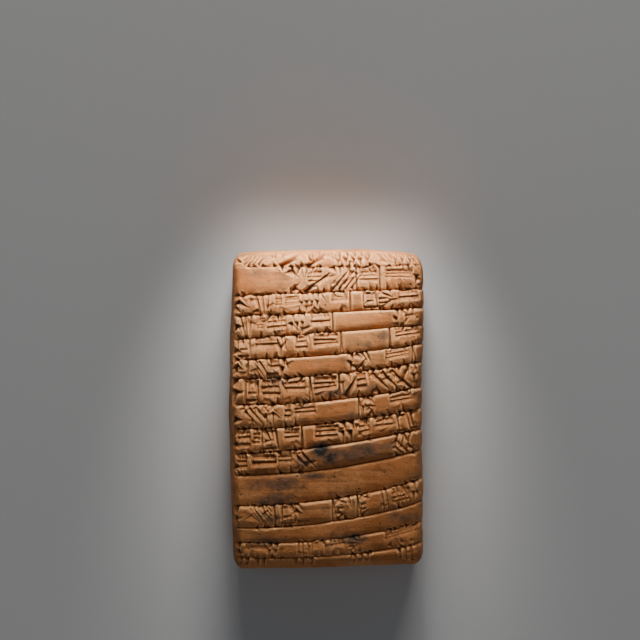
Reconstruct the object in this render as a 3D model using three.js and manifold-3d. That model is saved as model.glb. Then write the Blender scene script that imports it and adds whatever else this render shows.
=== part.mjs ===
// A clay writing tablet, lying on its back with the written face up. Millimetres, +Z up, the
// tablet's head towards +Y, origin at the middle of the underside. One solid lump of baked clay:
// a slightly uneven pillow with bowed sides, carved with ruled rows of stylus strokes that spell
// nothing.
import * as THREE from "three";
import { mergeVertices } from "three/addons/utils/BufferGeometryUtils.js";
import Module from "manifold-3d";

const wasm = await Module();
wasm.setup();

// Driving sizes of the lump.
const WIDTH = 60; // along X
const LENGTH = 100; // along Y
const EDGE_THICKNESS = 21; // before the written face swells
const SWELL_LONG = 3.8; // how far the face rises from its ends to its middle
const SWELL_ACROSS = 1.2; // and from its sides to its middle
const ROUND_SIDE = 3.2; // how far the rounding of a long side reaches in
const ROUND_END = 5; // and that of a short end
const ROUND_ABOVE = 10; // height of the rounding above
const ROUND_BELOW = 8; // and below, down to the flat underside

// Cells of the lump's surface grid: along each flat stretch, and over each eighth turn.
const FLAT_CELLS = { x: 5, y: 9, z: 1 };
const TURN_CELLS = { x: 3, y: 3, z: 2 };

const CLAY = new THREE.MeshStandardMaterial({ color: 0xc08a5c, roughness: 0.85, metalness: 0 });

// A repeatable scatter between -1 and 1 for whole numbers.
function scatter(seed) {
  const s = Math.sin(seed * 12.9898 + 4.1414) * 43758.5453;
  return 2 * (s - Math.floor(s)) - 1;
}

// The value at x of the parabola through the values left, middle and right at -28, 0 and 28.
const RULE_REACH = 28;
function bowed([left, middle, right], x) {
  const s = x / RULE_REACH;
  return middle + ((right - left) / 2) * s + ((right + left) / 2 - middle) * s * s;
}

// ---- The lump ----

// Grid stations along one axis: an eighth turn, the flat stretch, and an eighth turn.
function stations(half, lowTurn, highTurn, flatCells, turnCells) {
  const low = -half + lowTurn;
  const high = half - highTurn;
  const turn = (i) => Math.tan(((Math.PI / 4) * i) / turnCells);
  const list = [];
  for (let i = turnCells; i > 0; i--) list.push(low - lowTurn * turn(i));
  for (let i = 0; i <= flatCells; i++) list.push(low + ((high - low) * i) / flatCells);
  for (let i = 1; i <= turnCells; i++) list.push(high + highTurn * turn(i));
  return list;
}

// How the plan wanders from a true rectangle, in millimetres at (x, y).
function wander(x, y) {
  const v = y / (LENGTH / 2);
  const u = x / (WIDTH / 2);
  const leftEdge = -0.25 - 0.17 * v + 1.36 * v * v;
  const rightEdge = 0.1 + 0.35 * Math.cos(Math.PI * 1.45 * (v - 0.72));
  const headEdge = 0.1 + 0.15 * u - 1.3 * u * u;
  const footEdge = 0.3 + 0.75 * u + 0.4 * u * u;
  const corner = Math.pow(Math.abs(u * v), 8);
  const fuller = v > 0 ? (u > 0 ? -0.7 : 0.4) : 0.4;
  return [
    THREE.MathUtils.lerp(leftEdge, rightEdge, (u + 1) / 2) + Math.sign(u) * corner * fuller,
    THREE.MathUtils.lerp(footEdge, headEdge, (v + 1) / 2) + Math.sign(v) * corner * fuller,
  ];
}

// Moves a point of the square-edged block onto the rounded, swelling lump.
function shapePoint(p) {
  const half = new THREE.Vector3(WIDTH / 2, LENGTH / 2, EDGE_THICKNESS / 2);
  const above = p.z > 0 ? ROUND_ABOVE : ROUND_BELOW;
  const turn = new THREE.Vector3(ROUND_SIDE, ROUND_END, above);
  const core = new THREE.Vector3(
    THREE.MathUtils.clamp(p.x, ROUND_SIDE - half.x, half.x - ROUND_SIDE),
    THREE.MathUtils.clamp(p.y, ROUND_END - half.y, half.y - ROUND_END),
    THREE.MathUtils.clamp(p.z, ROUND_BELOW - half.z, half.z - ROUND_ABOVE),
  );
  const q = p.clone().sub(core).divide(turn);
  q.normalize().multiply(turn).add(core);
  const [dx, dy] = wander(q.x, q.y);
  const height = q.z + half.z;
  const swell =
    SWELL_LONG * (1 - (q.y / half.y) ** 2) + SWELL_ACROSS * (1 - (q.x / half.x) ** 2);
  return new THREE.Vector3(q.x + dx, q.y + dy, height * (1 + swell / EDGE_THICKNESS));
}

function lumpGeometry() {
  const xs = stations(WIDTH / 2, ROUND_SIDE, ROUND_SIDE, FLAT_CELLS.x, TURN_CELLS.x);
  const ys = stations(LENGTH / 2, ROUND_END, ROUND_END, FLAT_CELLS.y, TURN_CELLS.y);
  const zs = stations(EDGE_THICKNESS / 2, ROUND_BELOW, ROUND_ABOVE, FLAT_CELLS.z, TURN_CELLS.z);
  const counts = [xs, ys, zs].map((list) => list.length - 1);
  const block = new THREE.BoxGeometry(1, 1, 1, ...counts);
  const place = block.getAttribute("position");
  const p = new THREE.Vector3();
  for (let i = 0; i < place.count; i++) {
    p.fromBufferAttribute(place, i).addScalar(0.5);
    p.set(
      xs[Math.round(p.x * counts[0])],
      ys[Math.round(p.y * counts[1])],
      zs[Math.round(p.z * counts[2])],
    );
    place.setXYZ(i, ...shapePoint(p).toArray());
  }
  return block;
}

// ---- Booleans ----

function solidFrom(geometry) {
  const bare = geometry.clone();
  bare.deleteAttribute("normal");
  bare.deleteAttribute("uv");
  const merged = mergeVertices(bare, 1e-4);
  return new wasm.Manifold(
    new wasm.Mesh({
      numProp: 3,
      vertProperties: merged.getAttribute("position").array,
      triVerts: new Uint32Array(merged.index.array),
    }),
  );
}

function geometryFrom(solid) {
  const { numProp, vertProperties, triVerts } = solid.getMesh();
  const geometry = new THREE.BufferGeometry();
  geometry.setAttribute("position", new THREE.BufferAttribute(vertProperties, numProp));
  geometry.setIndex(new THREE.BufferAttribute(triVerts, 1));
  return geometry.toNonIndexed();
}

// ---- Where the strokes lie ----

// Each side that is written on: the way its rows run, the way up its rows, and the way out.
const SIDES = {
  face: { along: [1, 0, 0], up: [0, 1, 0], out: [0, 0, 1] },
  underside: { along: [1, 0, 0], up: [0, -1, 0], out: [0, 0, -1] },
  right: { along: [0, 0, -1], up: [0, 1, 0], out: [1, 0, 0] },
  left: { along: [0, -1, 0], up: [0, 0, 1], out: [-1, 0, 0] },
  head: { along: [1, 0, 0], up: [0, 0, -1], out: [0, 1, 0] },
  foot: { along: [1, 0, 0], up: [0, 0, 1], out: [0, -1, 0] },
};
for (const side of Object.values(SIDES))
  for (const way of Object.keys(side)) side[way] = new THREE.Vector3(...side[way]);

const lump = new THREE.Mesh(lumpGeometry(), CLAY);
lump.geometry.computeVertexNormals();
const probe = new THREE.Raycaster();

// The surface point and outward normal of a side at (a, b), or null off the edge.
function surfaceAt(side, a, b) {
  const start = side.out.clone().multiplyScalar(LENGTH);
  start.addScaledVector(side.along, a).addScaledVector(side.up, b);
  probe.set(start, side.out.clone().negate());
  const hit = probe.intersectObject(lump)[0];
  return hit ? { point: hit.point, normal: hit.face.normal.clone() } : null;
}

// A stylus stroke's cutter: a three-sided spike whose section at the surface is a long triangle,
// with its broad head at the start and its tail at the end, and whose tip is the deepest point.
const CUTTER_RISE = 1.6; // how far the cutter is carried up past the surface, in depths
function strokeCutter(side, stroke) {
  const at = surfaceAt(side, stroke.a, stroke.b);
  if (!at) return null;
  const way = side.along.clone().applyAxisAngle(side.out, stroke.turn);
  way.addScaledVector(at.normal, -way.dot(at.normal)).normalize();
  const across = at.normal.clone().cross(way);
  const grown = 1 + CUTTER_RISE;
  const spike = new THREE.ConeGeometry(1, 1, 3, 1);
  // Stand the cone on its tip, so that it runs from the tip at 0 to its broad end at 1.
  spike.rotateX(Math.PI).translate(0, 0.5, 0).rotateY(-Math.PI / 2);
  // The three corners lie at -1/2 and 1 along X: make them 0 and the stroke's length.
  spike.scale(stroke.long / 1.5, 1, stroke.head / Math.sqrt(3));
  spike.translate(stroke.long / 3, 0, 0);
  // Shear the tip under the head, then grow the whole spike from its tip.
  const tip = stroke.head * 0.4;
  const place = spike.getAttribute("position");
  for (let i = 0; i < place.count; i++) {
    const high = place.getY(i);
    const along = tip + (high > 0.5 ? (place.getX(i) - tip) * grown : 0);
    const over = high > 0.5 ? place.getZ(i) * grown : 0;
    place.setXYZ(i, along, (high > 0.5 ? CUTTER_RISE : -1) * stroke.deep, over);
  }
  const frame = new THREE.Matrix4().makeBasis(way, at.normal, across.negate());
  frame.setPosition(at.point);
  return spike.applyMatrix4(frame);
}

// ---- Strokes ----

// A stroke starts at (a, b) from the lower left corner of its cell, and its tail is turned by turn
// degrees from the row, anticlockwise. head is the breadth of its head.
const LEVEL = 0;
const UPRIGHT = -90;
const stroke = (a, b, turn, long, head) => ({ a, b, turn, long, head });
const repeat = (n, make) => Array.from({ length: n }, (_, i) => make((i + 0.5) / n, i)).flat();

// Groups of strokes that fill a cell w millimetres wide and h high, n of a kind.
const GROUPS = {
  plain: () => [],
  // Level strokes, one above the other.
  comb: (w, h, n) =>
    repeat(n, (t) => stroke(0.05 * w, h * (0.1 + 0.8 * t), LEVEL, 0.92 * w, (0.66 * h) / n)),
  // Level strokes in the upper half of the row.
  bars: (w, h, n) =>
    repeat(n, (t) => stroke(0.05 * w, h * (0.5 + 0.45 * t), LEVEL, 0.92 * w, (0.42 * h) / n)),
  // Upright strokes side by side.
  rank: (w, h, n) =>
    repeat(n, (t) => stroke(w * t, 0.95 * h, UPRIGHT, 0.88 * h, (0.7 * w) / n)),
  // Short heads in two tiers.
  hooks: (w, h, n) =>
    repeat(n, (t) => [
      stroke(w * t, 0.97 * h, UPRIGHT, 0.42 * h, (0.9 * w) / n),
      stroke(w * t, 0.5 * h, UPRIGHT, 0.42 * h, (0.9 * w) / n),
    ]),
  // Strokes rising, and strokes falling, to the right.
  rises: (w, h, n) =>
    repeat(n, (t) => stroke(w * (t - 0.3 / n), 0.18 * h, 52, 0.95 * h, (0.62 * w) / n)),
  falls: (w, h, n) =>
    repeat(n, (t) => stroke(w * (t - 0.3 / n), 0.88 * h, -54, 0.95 * h, (0.62 * w) / n)),
  // Two short strokes meeting above an upright one.
  forks: (w, h, n) =>
    repeat(n, (t) => [
      stroke(w * (t - 0.38 / n), 0.92 * h, -48, 0.5 * h, (0.42 * w) / n),
      stroke(w * (t + 0.38 / n), 0.92 * h, -132, 0.5 * h, (0.42 * w) / n),
      stroke(w * t, 0.6 * h, UPRIGHT, 0.55 * h, (0.4 * w) / n),
    ]),
  // One deep, broad stroke falling to the right.
  gash: (w, h) => [stroke(0.2 * w, 0.75 * h, -42, 0.95 * w, 0.42 * h)],
  // A frame of two level and two upright strokes, with n level ones inside.
  pen: (w, h, n) => [
    stroke(0.06 * w, 0.84 * h, LEVEL, 0.86 * w, 0.2 * h),
    stroke(0.06 * w, 0.18 * h, LEVEL, 0.86 * w, 0.2 * h),
    stroke(0.1 * w, 0.95 * h, UPRIGHT, 0.85 * h, 0.18 * h),
    stroke(0.9 * w, 0.95 * h, UPRIGHT, 0.85 * h, 0.18 * h),
    ...repeat(n, (t) => stroke(0.25 * w, h * (0.3 + 0.4 * t), LEVEL, 0.5 * w, 0.16 * h)),
  ],
  // Level strokes crossed by upright ones.
  lattice: (w, h, n) => [
    ...repeat(n, (t) => stroke(0.08 * w, h * (0.12 + 0.76 * t), LEVEL, 0.84 * w, (0.5 * h) / n)),
    ...repeat(n - 1, (t) => stroke(w * (0.15 + 0.7 * t), 0.9 * h, UPRIGHT, 0.8 * h, (0.4 * w) / n)),
  ],
  // Two strokes that close on a point to the right, and a level one between.
  dart: (w, h) => [
    stroke(0.08 * w, 0.88 * h, -30, 0.85 * w, 0.28 * h),
    stroke(0.08 * w, 0.14 * h, 30, 0.85 * w, 0.28 * h),
    stroke(0.05 * w, 0.52 * h, LEVEL, 0.55 * w, 0.2 * h),
  ],
  // Nested angles that point left.
  angles: (w, h, n) =>
    repeat(n, (t) => [
      stroke(w * (t + 0.35 / n), 0.95 * h, -118, 0.52 * h, (0.5 * w) / n),
      stroke(w * (t - 0.3 / n), 0.5 * h, -50, 0.5 * h, (0.5 * w) / n),
    ]),
  // Two strokes crossing.
  cross: (w, h) => [
    stroke(0.1 * w, 0.86 * h, -42, 0.95 * w, 0.3 * h),
    stroke(0.12 * w, 0.16 * h, 44, 0.95 * w, 0.24 * h),
  ],
  // A thin stroke down the whole row.
  stop: (w, h) => [stroke(0.5 * w, 1.02 * h, UPRIGHT, 1.02 * h, 1)],
};

// ---- Rows ----

// A row has a head line and a foot line, given at -28, 0 and 28 along it, a factor for the depth
// of its strokes, its cells, written as group, from, to and count, and the line ruled along its
// foot, if any.
const CURVED = { reach: 26.4, steps: 5 };
const STRAIGHT = { reach: 25, steps: 1 };
const row = (head, foot, press, ruled, cells) => ({ head, foot, press, ruled, cells });
const level = (b) => [b, b, b];

const FACE_ROWS = [
  row([48.2, 49.5, 48.6], [44.6, 44.3, 45], 0.9, null,
    "rises -26 -20 3, bars -20 -15 2, bars -13.5 -6 1, rises -14.5 -9 1, hooks -5 -1 2, " +
    "hooks 8 14.5 3, rises 15.5 20.5 3, hooks 21 24 1, hooks 25.5 29 2"),
  row([44.4, 44.1, 44.8], [35.3, 36.4, 37.4], 1, CURVED,
    "forks -11 -6.5 1, comb -5 -1 3, rises 2 9 3, stop 8.8 9.8, comb 10 16 3, stop 16 17, " +
    "bars 18.5 27 2, hooks 27.5 29.5 1"),
  row([35.3, 36.4, 37.4], [29, 30.2, 31.6], 1, CURVED,
    "gash -27.5 -23, forks -22.5 -16.5 2, comb -15.8 -13.3 4, comb -12.8 -8 5, hooks -8 -1.5 4, " +
    "bars 1.5 7 2, stop 7 8, pen 11.5 15.5 1, dart 16 21, comb 22 28.5 2"),
  row([29, 30.2, 31.6], [21.8, 24, 26.1], 1, CURVED,
    "forks -27 -21.8 2, comb -21.5 -19 5, lattice -18.5 -12 3, hooks -11 -6 3, comb -5 1.5 2, " +
    "stop 1.5 2.5, hooks 21 23 1, cross 23 26.5"),
  row([21.8, 24, 26.1], [15.6, 17, 20.2], 1, CURVED,
    "pen -27.5 -23 1, bars -22 -14 1, hooks -14.5 -12.5 1, lattice -9.5 -5.5 3, comb -4 4 3, " +
    "stop 4 5, stop 19 20, bars 21 29 2"),
  row([15.6, 17, 20.2], [9.6, 11, 14.6], 1, CURVED,
    "gash -28 -25, rank -25 -23 1, falls -22.5 -17.5 3, comb -17.5 -14 2, hooks -14 -11.5 1, " +
    "hooks 7 9 1, cross 9 12.5, comb 18 26 3, stop 26 27"),
  row([9.6, 11, 14.6], [1.6, 3, 7], 1, CURVED,
    "hooks -28.5 -26 1, pen -25 -20.5 1, lattice -20 -14 3, bars -13 -6 2, stop -5.5 -4.5, " +
    "comb -4 3.5 3, stop 3.5 4.5, rises 5 8 1, lattice 9 12.5 3, falls 13.5 22.5 3, " +
    "angles 22.5 26 1, hooks 26.5 29.5 2"),
  row([1.6, 3, 7], [-5.8, -4, 0.4], 1, CURVED,
    "falls -26 -20 3, forks -19.5 -15 2, comb -13 -10.5 3, bars -10 -3 2, stop 9.5 10.5, " +
    "hooks 10.8 12.5 1, cross 12.3 15.5, bars 19.5 26.5 2"),
  row([-5.8, -4, 0.4], [-13.6, -10.9, -6], 1, CURVED,
    "lattice -27.5 -23 3, comb -22.5 -20 4, pen -20 -15 1, bars -13 -8 2, stop -8 -7, " +
    "comb -3.5 4 3, hooks 4.5 9 2, lattice 9.8 13.5 3, bars 15 21 2, pen 21.5 25 0, pen 25.5 29 0"),
  row([-13.6, -10.9, -6], [-20, -18, -12.5], 1, CURVED,
    "lattice -27.5 -24 3, comb -23 -15 2, bars -15 -10.5 2, falls -10.5 -6 2, angles 20.5 26.5 3"),
  row([-29.6, -27.6, -21.8], [-36.4, -34.6, -28.6], 0.75, CURVED,
    "hooks -28.5 -26 1, falls -23.5 -17 6, rank -17 -15 1, pen -14 -9.5 1, gash -10 -7, " +
    "stop 1.5 2.5, dart 3 6.5, stop 9.2 10.2, dart 10.3 13.5, rank 16.5 19 2, lattice 20 26 4, " +
    "hooks 26.3 29.3 2"),
  row([-41, -40, -35], [-45.2, -44.8, -39.6], 0.6, null,
    "hooks -28 -25.5 1, bars -25 -18 1, hooks -18 -14 2, rank -9 -5 3, pen -4.5 0 0, " +
    "bars 1 6 1, dart 7 11, comb 18 29 3"),
  row([-45.6, -45.2, -41.4], [-49.2, -49, -46.4], 0.6, null,
    "hooks -27 -23 2, rank -22 -18 2, rank -10 -6 2, hooks -5 -3 1, hooks 8 14 3, rank 22 27 3"),
];

// The underside is plainer: straight, evenly spaced rows, with the middle one left bare.
const UNDERSIDE_PITCH = 11;
const UNDERSIDE_ROW_HEIGHT = 7;
const UNDERSIDE_ROWS = [
  "comb -25 -19 3, rank -18 -13 3, hooks -5 0 2, stop 0 2, comb 2 10 2",
  "forks -25 -19 2, comb -19 -12 2, stop -12 -10, pen -10 -4 1, rank 10 16 3",
  "falls -20 -14 3, comb -13 -5 3, hooks 5 11 3, dart 11 16",
  "",
  "hooks -25 -20 2, comb -20 -12 2, stop -12 -10, lattice 0 5 3, rank 6 11 2",
  "comb -25 -18 3, dart -17 -12, rank -6 0 3, comb 8 17 2",
  "rank -25 -20 2, comb -15 -7 2, hooks -6 -1 2",
].map((cells, i, all) => {
  const middle = UNDERSIDE_PITCH * ((all.length - 1) / 2 - i);
  const reach = UNDERSIDE_ROW_HEIGHT / 2;
  return row(level(middle + reach), level(middle - reach), 0.8, STRAIGHT, cells);
});

// A few face rows run on over the right edge, and each other edge bears one row.
const RIGHT_ROWS = [
  [33.5, "comb -17 -11 2"],
  [27.5, "rank -16 -12 2"],
  [21.5, "comb -17 -10 2"],
  [16.5, "hooks -17 -14 1"],
  [9.5, "comb -17 -11 2"],
  [2.5, "forks -17 -13 1"],
  [-5, "comb -16 -10 2"],
  [-26, "rank -17 -12 2"],
  [-38, "comb -17 -10 2"],
].map(([middle, cells]) => row(level(middle + 2.2), level(middle - 2.2), 0.8, null, cells));
const LEFT_ROWS = [
  row(level(13), level(8), 0.7, null, "comb -28 -23 2, rank -19 -15 2, hooks -15 -10 2, comb 10 15 2"),
];
const HEAD_ROWS = [
  row(level(-8), level(-14), 0.8, null, "rank -22 -17 2, comb -13 -6 2, hooks 4 10 2, rank 10 15 2"),
];
const FOOT_ROWS = [
  row(level(15), level(9), 0.8, null, "comb -20 -13 2, rank -4 1 2, hooks 13 19 2"),
];

// The depth of a stroke goes with the breadth of its head, within limits, both in millimetres.
const HEAD_LIMITS = [0.45, 2.6];
const strokeDepth = (head) => 0.16 + 0.46 * head;

// How far the hand wanders, in millimetres and in degrees, and where its scatter starts.
const HAND_SHIFT = 0.12;
const HAND_TURN = 4;
const HAND_START = 23;

// Every stroke of a row, placed on its side. seed keeps the hand's wandering repeatable.
function strokesOf({ head, foot, press, cells }, seed) {
  return cells.split(", ").flatMap((cell) => {
    const [group, ...numbers] = cell.split(" ");
    if (!group) return [];
    const [from, to, count] = numbers.map(Number);
    const middle = (from + to) / 2;
    const height = bowed(head, middle) - bowed(foot, middle);
    return GROUPS[group](to - from, height, count).map((stroke) => {
      seed += 5;
      const a = from + stroke.a + HAND_SHIFT * scatter(seed);
      const b = bowed(foot, a) + stroke.b + HAND_SHIFT * scatter(seed + 1);
      const slope = Math.atan(bowed(foot, a + 0.5) - bowed(foot, a - 0.5));
      const turn = slope + THREE.MathUtils.degToRad(stroke.turn + HAND_TURN * scatter(seed + 2));
      const breadth = THREE.MathUtils.clamp(stroke.head, ...HEAD_LIMITS);
      return { a, b, turn, long: stroke.long, head: breadth, deep: strokeDepth(breadth) * press };
    });
  });
}

// A ruled line: a slender four-sided bar half sunk in the surface along a row's foot, as far as
// reach to either side of the middle.
const RULE_RADIUS = 0.5;
function ruleCutter(side, foot, { reach, steps }) {
  const points = [];
  for (let i = 0; i <= steps; i++) {
    const a = reach * ((2 * i) / steps - 1);
    points.push(surfaceAt(side, a, bowed(foot, a)).point);
  }
  const section = new THREE.Shape();
  section.absarc(0, 0, RULE_RADIUS, 0, 2 * Math.PI);
  return new THREE.ExtrudeGeometry(section, {
    steps,
    curveSegments: 2,
    bevelEnabled: false,
    extrudePath: new THREE.CatmullRomCurve3(points),
  });
}

// ---- The tablet ----

let solid = solidFrom(lump.geometry);
const carve = (cutter) => {
  if (cutter) solid = solid.subtract(solidFrom(cutter));
};
[
  [SIDES.face, FACE_ROWS],
  [SIDES.underside, UNDERSIDE_ROWS],
  [SIDES.right, RIGHT_ROWS],
  [SIDES.left, LEFT_ROWS],
  [SIDES.head, HEAD_ROWS],
  [SIDES.foot, FOOT_ROWS],
].forEach(([side, rows], sideNumber) => {
  rows.forEach((row, rowNumber) => {
    if (row.ruled) carve(ruleCutter(side, row.foot, row.ruled));
    for (const stroke of strokesOf(row, HAND_START + 7000 * sideNumber + 500 * rowNumber))
      carve(strokeCutter(side, stroke));
  });
});

// Clear away slivers, then centre the lump on its own box, standing on zero.
const SLIVER = 0.02;
solid = solid.simplify(SLIVER);
const box = solid.boundingBox();
const tablet = new THREE.Mesh(geometryFrom(solid), CLAY);
tablet.name = "clay_tablet";
tablet.geometry.translate(
  -(box.min[0] + box.max[0]) / 2,
  -(box.min[1] + box.max[1]) / 2,
  -box.min[2],
);
tablet.geometry.computeVertexNormals();

const group = new THREE.Group();
group.add(tablet);
export default group;
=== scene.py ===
"""A baked clay writing tablet, lying on its back with the written face up.

Metres, +Z up, the head of the tablet towards +Y. The tablet is one lump of clay. Its rows,
ruled lines and stylus strokes stand where the solid has them, with the finer relief added:
the pillow of clay between ruled lines, notches and broad facets under the signs, pits and wear.
The strokes spell nothing.
"""

import logging
import math
from dataclasses import dataclass
from enum import Enum
from typing import ClassVar

import bmesh
import bpy
import numpy as np
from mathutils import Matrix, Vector


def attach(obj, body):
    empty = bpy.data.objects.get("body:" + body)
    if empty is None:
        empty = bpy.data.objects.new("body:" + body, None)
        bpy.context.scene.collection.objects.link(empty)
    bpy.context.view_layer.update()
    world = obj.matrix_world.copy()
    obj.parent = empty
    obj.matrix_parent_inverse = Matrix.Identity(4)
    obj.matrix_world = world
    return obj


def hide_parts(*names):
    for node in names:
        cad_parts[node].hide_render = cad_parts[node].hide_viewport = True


logging.basicConfig(level=logging.INFO, format="%(message)s")
log = logging.getLogger("tablet")

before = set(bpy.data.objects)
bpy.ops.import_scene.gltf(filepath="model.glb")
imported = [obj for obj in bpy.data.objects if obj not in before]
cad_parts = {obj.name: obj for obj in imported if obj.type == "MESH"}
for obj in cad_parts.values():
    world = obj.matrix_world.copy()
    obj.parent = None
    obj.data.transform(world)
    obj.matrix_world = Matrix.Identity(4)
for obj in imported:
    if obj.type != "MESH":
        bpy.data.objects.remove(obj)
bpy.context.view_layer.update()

Array = np.ndarray
Socket = bpy.types.NodeSocket
Colour = tuple[float, float, float, float]

MM = 0.001
RULE_REACH = 28.0  # where a row's lines are given to either side of the middle, in millimetres
SIDE_SEEDS = 7000  # how far apart the sides' scatters start
ROW_SEEDS = 500  # and those of the rows of a side
WORD = 0xFFFFFFFF  # keeps mixed whole numbers to 32 bits


def scatter(seed: int) -> float:
    """Return a repeatable value between -1 and 1 for a whole number.

    Args:
        seed: any whole number.

    Returns:
        The scattered value.
    """
    s = math.sin(seed * 12.9898 + 4.1414) * 43758.5453
    return 2 * (s - math.floor(s)) - 1


def smooth(low: float, high: float, x: Array) -> Array:
    """Ease from 0 at low to 1 at high.

    Args:
        low: where the ramp starts.
        high: where it ends; it may be below low.
        x: the values to ease.

    Returns:
        The eased values.
    """
    t = np.clip((x - low) / (high - low), 0, 1)
    return t * t * (3 - 2 * t)


def value_noise(points: Array, cell: float, seed: int) -> Array:
    """Smooth noise between -1 and 1 over space.

    Args:
        points: an (n, 3) array of places.
        cell: the size of the noise's cells, in the same unit.
        seed: a whole number that picks the pattern.

    Returns:
        One value for each point.
    """
    scaled = points / cell
    corner = np.floor(scaled).astype(np.int64)
    part = scaled - corner
    part = part * part * (3 - 2 * part)
    total = np.zeros(len(points))
    for step in np.ndindex(2, 2, 2):
        spot = corner + np.array(step)
        mixed = spot[:, 0] * 73856093 ^ spot[:, 1] * 19349663 ^ spot[:, 2] * 83492791
        mixed = (mixed + seed * 2654435761) & WORD
        mixed = ((mixed ^ (mixed >> 15)) * 2246822519) & WORD
        mixed = ((mixed ^ (mixed >> 13)) * 3266489917) & WORD
        share = np.prod(np.where(np.array(step) == 1, part, 1 - part), axis=1)
        total += share * ((mixed ^ (mixed >> 16)) / (WORD >> 1) - 1)
    return total


def column(items: bpy.types.bpy_prop_collection, name: str, width: int, kind: type = float) -> Array:
    """Read a property of a mesh's items.

    Args:
        items: the vertices, normals or edges.
        name: the property.
        width: how many numbers it has.
        kind: their type.

    Returns:
        The values, one row for each item.
    """
    values = np.empty(len(items) * width, kind)
    items.foreach_get(name, values)
    return values.reshape(-1, width)


class Side(Enum):
    """A side of the tablet: the way its rows run, the way up its rows, and the way out."""

    FACE = ((1, 0, 0), (0, 1, 0), (0, 0, 1))
    UNDERSIDE = ((1, 0, 0), (0, -1, 0), (0, 0, -1))
    RIGHT = ((0, 0, -1), (0, 1, 0), (1, 0, 0))
    LEFT = ((0, -1, 0), (0, 0, 1), (-1, 0, 0))
    HEAD = ((1, 0, 0), (0, 0, -1), (0, 1, 0))
    FOOT = ((1, 0, 0), (0, 0, 1), (0, -1, 0))


@dataclass(frozen=True)
class Stroke:
    """One stylus stroke on its side of the tablet, in millimetres and degrees.

    In a group, deep is a factor for the depth that goes with the breadth of the head; once the
    stroke is laid out in its row, it is the depth itself.
    """

    a: float
    b: float
    turn: float
    long: float
    head: float
    taper: float = 1.0
    deep: float = 1.0


Group = list[Stroke]
LEVEL = 0.0
UPRIGHT = -90.0


def spread(n: int) -> list[float]:
    """Return the middles of n equal parts of the span from 0 to 1."""
    return [(i + 0.5) / n for i in range(n)]


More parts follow.
